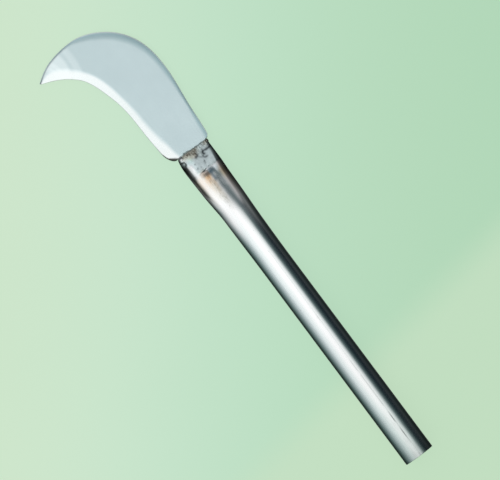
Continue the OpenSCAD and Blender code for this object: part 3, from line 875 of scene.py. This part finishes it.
# ---------------------------------------------------------------- shader graphs
class Graph:
    """a cleared node tree; its methods add nodes and mostly return an output socket"""

    def __init__(self, owner):
        owner.use_nodes = True
        self.tree = owner.node_tree
        self.tree.nodes.clear()

    def feed(self, socket, value):
        """link a socket, or set a plain value; colours are given as three numbers"""
        if isinstance(value, bpy.types.NodeSocket):
            self.tree.links.new(value, socket)
        elif socket.type == "RGBA":
            socket.default_value = (*value, 1)
        else:
            socket.default_value = value

    def node(self, kind, inputs=None, **settings):
        made = self.tree.nodes.new(kind)
        for key, value in settings.items():
            setattr(made, key, value)
        for key, value in (inputs or {}).items():
            self.feed(made.inputs[key], value)
        return made

    def object_place(self):
        return self.node("ShaderNodeTexCoord").outputs["Object"]

    def attribute(self, name, output="Fac"):
        return self.node("ShaderNodeAttribute", attribute_name=name).outputs[output]

    def calc(self, operation, *values, clamp=False):
        return self.node("ShaderNodeMath", dict(enumerate(values)), operation=operation,
                         use_clamp=clamp).outputs[0]

    def vector(self, operation, *values, output="Vector"):
        return self.node("ShaderNodeVectorMath", dict(enumerate(values)),
                         operation=operation).outputs[output]

    def mix(self, share, a, b, blend="MIX"):
        return self.node("ShaderNodeMix", {0: share, 6: a, 7: b}, data_type="RGBA",
                         blend_type=blend, clamp_factor=True).outputs[2]

    def mix_value(self, share, a, b):
        return self.node("ShaderNodeMix", {0: share, 2: a, 3: b}, data_type="FLOAT").outputs[0]

    def noise(self, place, scale, detail, roughness, stretch=None):
        if stretch is not None:
            place = self.node("ShaderNodeMapping",
                              {"Scale": stretch, "Vector": place}).outputs["Vector"]
        return self.node("ShaderNodeTexNoise", {
            "Scale": scale, "Detail": detail, "Roughness": roughness,
            "Vector": place}).outputs["Fac"]

    def remap(self, value, source, target=(0.0, 1.0), **settings):
        """carry the range source onto the range target, clamped"""
        limits = {1: source[0], 2: source[1], 3: target[0], 4: target[1]}
        return self.node("ShaderNodeMapRange", {0: value, **limits}, **settings).outputs[0]

    def ramp(self, value, stops, interpolation):
        """colour ramp through (position, colour) stops, the ends at 0 and 1"""
        made = self.node("ShaderNodeValToRGB", {0: value})
        made.color_ramp.interpolation = interpolation
        elements = made.color_ramp.elements
        for element, (position, colour) in zip(elements, (stops[0], stops[-1])):
            element.position = position
            element.color = (*colour, 1)
        for position, colour in stops[1:-1]:
            elements.new(position).color = (*colour, 1)
        return made.outputs[0]

    def bump(self, height, strength, distance, normal=None):
        inputs = {"Strength": strength, "Distance": distance, "Height": height}
        if normal is not None:
            inputs["Normal"] = normal
        return self.node("ShaderNodeBump", inputs).outputs["Normal"]


def new_steel(name):
    """material and its graph"""
    material = bpy.data.materials.new(name)
    return material, Graph(material)


def finish_steel(graph, colour, metallic, roughness, normal):
    shader = graph.node("ShaderNodeBsdfPrincipled", {
        "Base Color": colour, "Metallic": metallic, "Roughness": roughness, "Normal": normal})
    graph.node("ShaderNodeOutputMaterial", {"Surface": shader.outputs["BSDF"]})


# ---------------------------------------------------------------- materials
def blade_material():
    material, g = new_steel("blade_steel")
    place = g.object_place()
    bevel, band, rim = (g.attribute(name) for name in ("bev", "band", "rim"))
    grain = g.attribute("grain", output="Vector")
    # belt-ground lines along the plate
    lines = g.noise(place, scale=900, detail=4, roughness=0.6, stretch=(0.035, 1.0, 1.0))
    fine = g.noise(place, scale=4200, detail=2, roughness=0.5, stretch=(0.05, 1.0, 1.0))
    cloud = g.noise(place, scale=34, detail=4, roughness=0.55)
    # bevel lines square to the edge: grain is (along, across) in mm
    cross = g.noise(grain, scale=3.2, detail=4, roughness=0.65, stretch=(1.0, 0.06, 1.0))
    patch = g.noise(grain, scale=0.16, detail=3, roughness=0.5, stretch=(1.0, 0.6, 1.0))
    tone = g.attribute("tone")
    # flat, then its lines and the brighter slanted facets towards the point
    flat = g.mix(g.remap(cloud, (0.3, 0.7)), (0.548, 0.660, 0.684), (0.590, 0.704, 0.726))
    flat = g.mix(g.remap(lines, (0.25, 0.75), (0, 0.7)), flat, (0.592, 0.702, 0.728))
    flat = g.mix(tone, flat, (0.90, 0.985, 1.0))
    ground = g.mix(g.remap(cross, (0.3, 0.7)), (0.78, 0.83, 0.83), (0.90, 0.92, 0.92))
    ground = g.mix(g.calc("MULTIPLY", tone, 1.2, clamp=True), ground, (0.86, 0.905, 0.90))
    # the eased band along the spine is painted darker blue-grey: painted shade where the band
    # turns away from the light
    colour = g.mix(band, flat, (0.432, 0.625, 0.672))
    colour = g.mix(bevel, colour, ground)
    # painted shade on the rounded edges of the rim, kept off the band
    rim_strength = g.calc("MULTIPLY", rim, 1.0)
    off_band = g.calc("SUBTRACT", 1.0, band, clamp=True)
    scale = g.calc("MULTIPLY", rim_strength, off_band, clamp=True)
    colour = g.mix(scale, colour, (0.055, 0.058, 0.05))
    roughness = g.mix_value(bevel, g.remap(lines, (0.3, 0.7), (0.30, 0.38)),
                            g.remap(cross, (0.3, 0.7), (0.20, 0.30)))
    roughness = g.calc("MULTIPLY_ADD", patch, 0.06, roughness)
    height = g.calc("MULTIPLY_ADD", fine, 0.35, g.calc("MULTIPLY", lines, 1.0))
    height = g.mix_value(bevel, height, cross)
    finish_steel(g, colour, metallic=1.0, roughness=roughness,
                 normal=g.bump(height, strength=0.35, distance=0.00002))
    return material


def tube_material():
    material, g = new_steel("tube_steel")
    place = g.object_place()
    tint = g.attribute("tint", output="Color")
    heat, inside, butt = (g.attribute(name) for name in ("heat", "inside", "butt"))
    # drawing lines along the tube, and oxide mottling for the heated zone
    draw = g.noise(place, scale=700, detail=4, roughness=0.6, stretch=(0.02, 1.0, 1.0))
    fine = g.noise(place, scale=3600, detail=2, roughness=0.5, stretch=(0.03, 1.0, 1.0))
    mottle = g.noise(place, scale=240, detail=5, roughness=0.65)
    # scattered brown specks
    cells = g.node("ShaderNodeTexVoronoi", {"Scale": 170, "Randomness": 1.0, "Vector": place},
                   feature="F1").outputs["Distance"]
    speck = g.remap(cells, (0.0, 0.085), (1.0, 0.0))
    kept = g.remap(g.noise(place, scale=60, detail=1, roughness=0.5), (0.56, 0.6))
    speck = g.calc("MULTIPLY", speck, kept)
    # fine streaks darken a little
    streak = g.remap(draw, (0.2, 0.8), (0.93, 1.04))
    grey = g.node("ShaderNodeCombineColor", {0: streak, 1: streak, 2: streak}).outputs[0]
    colour = g.mix(1.0, tint, grey, blend="MULTIPLY")
    heated = g.calc("MULTIPLY", g.remap(mottle, (0.35, 0.65)), heat)
    colour = g.mix(g.calc("MULTIPLY", heated, 0.38), colour, (0.27, 0.31, 0.34))
    colour = g.mix(g.calc("MULTIPLY", speck, 0.55), colour, (0.20, 0.15, 0.12))
    # bright tube, duller at the butt, satin where heated, rough inside
    roughness = g.calc("MULTIPLY_ADD", butt, 0.07, g.remap(draw, (0.3, 0.7), (0.10, 0.16)))
    satin = g.remap(mottle, (0.3, 0.7), (0.16, 0.34))
    roughness = g.calc("MULTIPLY_ADD", heat, satin, roughness)
    roughness = g.calc("MULTIPLY_ADD", inside, 0.45, roughness, clamp=True)
    height = g.calc("MULTIPLY_ADD", fine, 0.3, draw)
    height = g.calc("MULTIPLY_ADD", g.calc("MULTIPLY", mottle, heat), 4.0, height)
    # lean tips the normal towards the blade
    normal = g.node("ShaderNodeNewGeometry").outputs["Normal"]
    tilt = g.calc("MULTIPLY", g.attribute("lean"), 0.065)
    tilt = g.node("ShaderNodeCombineXYZ", {0: tilt}).outputs[0]
    normal = g.vector("NORMALIZE", g.vector("ADD", normal, tilt))
    finish_steel(g, colour, metallic=1.0, roughness=roughness,
                 normal=g.bump(height, strength=0.3, distance=0.00002, normal=normal))
    return material


def weld_material():
    material, g = new_steel("weld_metal")
    place = g.object_place()
    tint = g.attribute("tint", output="Color")
    oxide = g.noise(place, scale=900, detail=4, roughness=0.65)
    scale = g.noise(place, scale=2600, detail=3, roughness=0.6)
    dark = g.mix(1.0, tint, (0.62, 0.62, 0.60), blend="MULTIPLY")
    light = g.mix(1.0, tint, (1.22, 1.20, 1.18), blend="MULTIPLY")
    colour = g.mix(g.remap(oxide, (0.45, 0.65), (0, 0.6)), tint, dark)
    colour = g.mix(g.remap(scale, (0.52, 0.7), (0, 0.6)), colour, light)
    roughness = g.remap(oxide, (0.3, 0.7), (0.24, 0.46))
    height = g.calc("MULTIPLY_ADD", scale, 0.4, oxide)
    finish_steel(g, colour, metallic=0.85, roughness=roughness,
                 normal=g.bump(height, strength=0.6, distance=0.00006))
    return material


# (share of the view's width from its left side, colour)
PAPER = [(0.0, (0.640, 0.807, 0.612)), (0.25, (0.600, 0.800, 0.625)),
         (0.5, (0.525, 0.760, 0.575)), (0.75, (0.480, 0.715, 0.515)),
         (1.0, (0.450, 0.695, 0.490))]


def floor_material():
    """plain sheet, lighter to one side, with one long soft crease of light across a corner"""
    material, g = new_steel("floor_paper")
    place = g.object_place()
    position = g.node("ShaderNodeNewGeometry").outputs["Position"]

    def view_share(direction, centre_share):
        """position along a direction, in view widths"""
        dot = g.vector("DOT_PRODUCT", position, direction, output="Value")
        centre = direction[0] * VIEW_CENTRE[0] + direction[1] * VIEW_CENTRE[1]
        return g.calc("MULTIPLY_ADD", dot, 1 / VIEW_WIDTH, centre_share - centre / VIEW_WIDTH)

    rightward = view_share(VIEW_RIGHT, 0.5)
    downward = view_share(tuple(-v for v in VIEW_UP), 0.48)
    paper = g.ramp(rightward, PAPER, "B_SPLINE")
    crease = g.remap(g.calc("ADD", rightward, downward), (1.39, 1.53), (0.0, 0.75),
                     interpolation_type="SMOOTHSTEP")
    colour = g.mix(crease, paper, (0.585, 0.765, 0.560))
    cloud = g.noise(place, scale=7.0, detail=1, roughness=0.4)
    colour = g.mix(g.remap(cloud, (0.3, 0.7), (0, 0.10)), colour, (0.52, 0.72, 0.53))
    matt = g.node("ShaderNodeBsdfPrincipled", {
        "Base Color": colour, "Roughness": 0.95, "Specular IOR Level": 0.1}).outputs["BSDF"]
    # the sheet mostly glows by itself, painted light that keeps shadows faint on it
    glow = g.node("ShaderNodeEmission", {"Color": colour, "Strength": 1.0}).outputs[0]
    surface = g.node("ShaderNodeMixShader", {0: 0.90, 1: matt, 2: glow}).outputs[0]
    g.node("ShaderNodeOutputMaterial", {"Surface": surface})
    return material


# ---------------------------------------------------------------- the pieces
def finish_piece(piece, node, material):
    piece.data.materials.append(material)
    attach(piece, "root")
    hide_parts(node)


blade_steel, tube_steel, weld_metal = blade_material(), tube_material(), weld_material()

finish_piece(make_blade(), "blade", blade_steel)
finish_piece(make_tube(), "handle_tube", tube_steel)
finish_piece(make_seam(), "tube_seam_weld", tube_steel)
finish_piece(make_bead("front_bead", FRONT_REAR, low=-14.2, high=9.6, side=1, seed=11),
             "front_weld", weld_metal)
finish_piece(make_bead("back_bead", BACK_REAR, low=-14.0, high=10.6, side=-1, seed=23),
             "back_weld", weld_metal)
# the heel side lump is coloured as bright as the colour goes: a painted highlight on the lump
# turned to the light
finish_piece(make_lump("heel_side_fill", centre=(MOUTH - 2.3, 10.9, 0.2), radii=(4.0, 2.5, 4.6),
                       seed=3, light=(1.16, 1.17, 1.18), dark=(1.06, 1.07, 1.08),
                       stain=heel_stain, stain_colour=(0.05, 0.055, 0.06)),
             "heel_side_weld", weld_metal)
finish_piece(make_lump("spine_side_fill", centre=(MOUTH - 0.9, -13.9, 0), radii=(2.1, 1.4, 3.2),
                       seed=8, light=(0.42, 0.38, 0.33), dark=(0.34, 0.33, 0.31),
                       stain=spine_stain, stain_colour=(0.12, 0.095, 0.075)),
             "spine_side_weld", weld_metal)


# ---------------------------------------------------------------- stage
def make_floor():
    """sheet under the tool, tilted to meet both the tube and the thinner blade"""
    mesh = bpy.data.meshes.new("floor_sheet")
    mesh.from_pydata([(-3, -3, 0), (3, -3, 0), (3, 3, 0), (-3, 3, 0)], [], [(0, 1, 2, 3)])
    floor = bpy.data.objects.new("floor_sheet", mesh)
    scene.collection.objects.link(floor)
    floor.rotation_euler = (0, -math.atan2(R - HALF_PLATE, MOUTH + 120), 0)
    floor.location = (0, 0, -R * MM - 0.0002)
    mesh.materials.append(floor_material())
    floor.visible_glossy = False


# Light round the tool's long axis: (degrees between straight up and the ray, +Y positive,
# then red, green, blue). Every ring shares its stops near straight down.
BELOW_START = [(-180, .13, .14, .14), (-166, .08, .085, .085), (-150, .036, .04, .04)]
BELOW_END = [(166, .08, .085, .085), (180, .13, .14, .14)]
# rays square to the tool
RING_SQUARE = [
    (-130, .010, .016, .015), (-112, .018, .027, .027), (-100, .030, .038, .041),
    (-89, .028, .036, .040), (-80, .012, .020, .026), (-68, .010, .020, .026),
    (-57, .028, .050, .055), (-47, .080, .118, .120), (-39, .19, .25, .25), (-30, .62, .69, .69),
    (-20, .97, 1.02, 1.01), (-8, 1.10, 1.13, 1.13), (10, 1.20, 1.21, 1.21),
    (26, 1.08, 1.12, 1.12), (37, .97, 1.05, 1.04), (47, .88, .97, .97), (57, .74, .84, .84),
    (68, .55, .64, .65), (80, .38, .47, .47), (92, .235, .315, .315), (106, .12, .18, .175),
    (123, .036, .070, .060), (145, .012, .020, .018), (150, .036, .04, .04)]
# rays leaning slightly towards +X
RING_SLIGHT = [
    (-142, .026, .028, .026), (-120, .038, .042, .040), (-103, .064, .070, .068),
    (-92, .150, .165, .165), (-85, .162, .178, .178), (-76, .110, .125, .128),
    (-66, .084, .100, .106), (-56, .105, .128, .136), (-46, .130, .160, .168),
    (-37, .185, .220, .225), (-27, .34, .38, .38), (-18, .61, .65, .65), (-9, .86, .89, .89),
    (0, 1.02, 1.04, 1.04), (15, 1.10, 1.10, 1.10), (40, 1.08, 1.10, 1.10),
    (55, 1.04, 1.06, 1.06), (65, .98, 1.01, 1.01), (76, .85, .88, .88), (88, .65, .68, .68),
    (101, .45, .495, .495), (117, .27, .305, .305), (138, .145, .165, .163),
    (150, .07, .08, .08)]
# rays leaning further
RING_NECK = [
    (-130, .018, .022, .016), (-112, .045, .053, .043), (-98, .10, .10, .092),
    (-86, .20, .195, .19), (-76, .36, .35, .35), (-66, .45, .455, .455), (-57, .33, .35, .355),
    (-46, .19, .225, .23), (-35, .135, .172, .180), (-24, .130, .165, .172),
    (-16, .25, .28, .285), (-8, .53, .55, .53), (2, .55, .565, .53), (12, .63, .67, .63),
    (22, .88, .93, .90), (33, 1.08, 1.12, 1.10), (58, 1.12, 1.15, 1.15), (68, .95, .97, .95),
    (79, .52, .55, .53), (90, .12, .13, .12), (104, .05, .055, .05), (122, .03, .035, .03),
    (145, .010, .012, .010), (150, .036, .04, .04)]
# rays leaning most
RING_STEEP = [
    (-125, .024, .029, .029), (-106, .07, .08, .08), (-92, .16, .17, .17), (-80, .34, .35, .35),
    (-66, .62, .63, .63), (-50, .80, .81, .81), (0, .80, .81, .82), (24, .86, .87, .88),
    (44, .98, 1.0, 1.0), (55, .92, .94, .93), (66, .70, .73, .72), (77, .37, .395, .385),
    (90, .115, .13, .12), (104, .06, .07, .07), (135, .020, .025, .025), (150, .036, .04, .04)]
# (ring, ray x where it starts to take over, ray x where it has)
LEANING_RINGS = [(RING_SLIGHT, 0.02, 0.09), (RING_NECK, 0.13, 0.21), (RING_STEEP, 0.26, 0.42)]
WORLD_STRENGTH = 2.0                     # ramp colours are divided by this to stay in range


def make_world():
    """a long overhead sheet of light, brighter to the +Y side, dark elsewhere"""
    world = bpy.data.worlds.new("studio")
    scene.world = world
    g = Graph(world)
    ray = g.node("ShaderNodeTexCoord").outputs["Generated"]
    ray_x, ray_y, ray_z = g.node("ShaderNodeSeparateXYZ", {0: ray}).outputs
    turn = g.calc("MULTIPLY_ADD", g.calc("ARCTAN2", ray_y, ray_z), 1 / (2 * math.pi), 0.5)

    def light_ring(ring):
        stops = [((degrees + 180) / 360, tuple(v / WORLD_STRENGTH for v in colour))
                 for degrees, *colour in BELOW_START + ring + BELOW_END]
        return g.ramp(turn, stops, "LINEAR")

    sky = light_ring(RING_SQUARE)
    for ring, start, end in LEANING_RINGS:
        sky = g.mix(g.remap(ray_x, (start, end)), sky, light_ring(ring))
    # towards the ends of the tool the sheet stops
    ends = g.remap(g.calc("ABSOLUTE", ray_x), (0.80, 0.97), interpolation_type="SMOOTHSTEP")
    sky = g.mix(ends, sky, (0.05, 0.06, 0.065))
    background = g.node("ShaderNodeBackground", {0: sky, 1: WORLD_STRENGTH}).outputs[0]
    g.node("ShaderNodeOutputWorld", {"Surface": background})


def make_key():
    key = bpy.data.lights.new("soft_key", "AREA")
    key.shape = "RECTANGLE"
    key.size, key.size_y = 1.4, 1.0
    key.energy = 3
    lamp = bpy.data.objects.new("soft_key", key)
    lamp.location = (0.2, 0.9, 1.5)
    aim = Vector((0.2, 0, 0)) - Vector(lamp.location)
    lamp.rotation_euler = aim.to_track_quat("-Z", "Y").to_euler()
    lamp.visible_glossy = False
    scene.collection.objects.link(lamp)


def make_camera():
    """long lens looking straight down, VIEW_WIDTH wide at z = 0"""
    distance = 5.0
    lens = bpy.data.cameras.new("camera")
    lens.sensor_width = 36.0
    lens.lens = lens.sensor_width * distance / VIEW_WIDTH
    lens.clip_start, lens.clip_end = 0.05, 20
    camera = bpy.data.objects.new("camera", lens)
    axes = Matrix((VIEW_RIGHT, VIEW_UP, (0, 0, 1))).transposed().to_4x4()
    axes.translation = Vector((*VIEW_CENTRE, distance))
    camera.matrix_world = axes
    scene.collection.objects.link(camera)
    scene.camera = camera


make_floor()
make_world()
make_key()
make_camera()
scene.view_settings.view_transform = "Standard"
